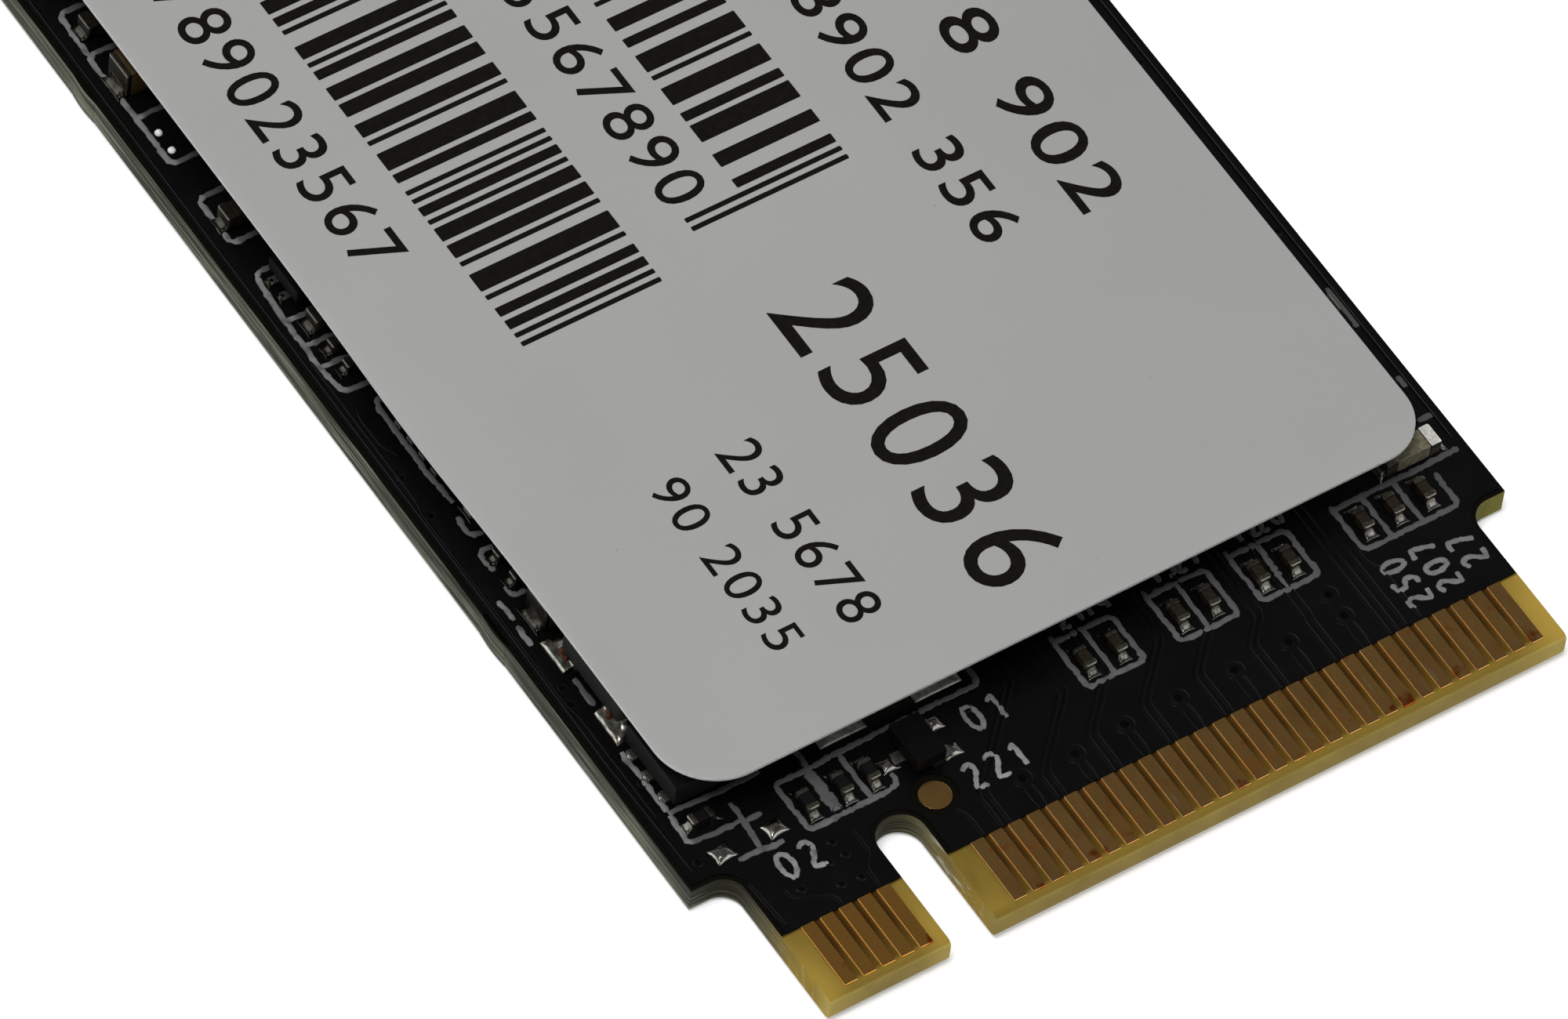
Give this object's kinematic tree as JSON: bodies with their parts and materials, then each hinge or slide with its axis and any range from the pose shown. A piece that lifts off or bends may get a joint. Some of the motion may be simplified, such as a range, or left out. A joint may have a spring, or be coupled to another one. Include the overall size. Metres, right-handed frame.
{
  "type": "m.2 solid-state drive",
  "caption": "Slim circuit board stick with a keyed gold edge connector at one end, a half-round screw notch at the other, flash chips and small parts on top under a flat label.",
  "frame": {"origin": "centre of the card's footprint, on the plane of its underside", "axes": "+Y from the edge connector towards the screw notch, +Z out of the chip side, +X towards the long contact group"},
  "size_m": [0.022, 0.08, 0.002],
  "materials": {
    "laminate": "bare glass-epoxy laminate",
    "solder_mask": "glossy black film",
    "gold_plate": "fine-scratched gold plate",
    "label": "satin white film",
    "chip_mould": "matt moulded",
    "solder": "bright solder",
    "tinned_metal": "dull tin",
    "white_ceramic": "matt",
    "ferrite": "matt",
    "capacitor_ceramic": "satin",
    "resistor_glaze": "satin",
    "bead_ceramic": "satin"
  },
  "bodies": {
    "root": {"board_laminate": "laminate", "bypass_capacitor_1": "capacitor_ceramic", "bypass_capacitor_2": "capacitor_ceramic", "bypass_capacitor_3": "capacitor_ceramic", "contacts_bottom_long": "gold_plate", "contacts_bottom_short": "gold_plate", "contacts_top_long": "gold_plate", "contacts_top_short": "gold_plate", "controller_package": "chip_mould", "controller_solder_balls": "solder", "corner_bead": "bead_ceramic", "corner_resistor": "resistor_glaze", "coupling_capacitor_1": "capacitor_ceramic", "coupling_capacitor_2": "capacitor_ceramic", "coupling_capacitor_3": "capacitor_ceramic", "coupling_capacitor_4": "capacitor_ceramic", "coupling_capacitor_5": "capacitor_ceramic", "coupling_capacitor_6": "capacitor_ceramic", "crystal_base": "white_ceramic", "crystal_lid": "tinned_metal", "fiducial_disc": "gold_plate", "flash_package_1": "chip_mould", "flash_package_2": "chip_mould", "flash_solder_balls_1": "solder", "flash_solder_balls_2": "solder", "front_chip_ends": "tinned_metal", "front_solder": "solder", "inductor_core_1": "ferrite", "inductor_core_2": "ferrite", "inductor_terminals": "tinned_metal", "label_sheet": "label", "load_switch_body": "chip_mould", "load_switch_leads": "tinned_metal", "power_chip_body": "chip_mould", "power_chip_leads": "tinned_metal", "pull_resistor_1": "resistor_glaze", "pull_resistor_2": "resistor_glaze", "pull_resistor_3": "resistor_glaze", "regulator_body": "chip_mould", "regulator_leads": "tinned_metal", "right_capacitor": "capacitor_ceramic", "screw_notch_pads": "gold_plate", "side_capacitor_large_1": "capacitor_ceramic", "side_capacitor_large_2": "capacitor_ceramic", "side_capacitor_medium_1": "capacitor_ceramic", "side_capacitor_medium_2": "capacitor_ceramic", "side_capacitor_medium_3": "capacitor_ceramic", "side_capacitor_medium_4": "capacitor_ceramic", "side_capacitor_small_1": "capacitor_ceramic", "side_capacitor_small_2": "capacitor_ceramic", "side_capacitor_small_3": "capacitor_ceramic", "side_capacitor_small_4": "capacitor_ceramic", "side_chip_ends": "tinned_metal", "side_solder": "solder", "solder_mask_bottom": "solder_mask", "solder_mask_top": "solder_mask", "transistor_body": "chip_mould", "transistor_leads": "tinned_metal"}
  },
  "joints": []
}
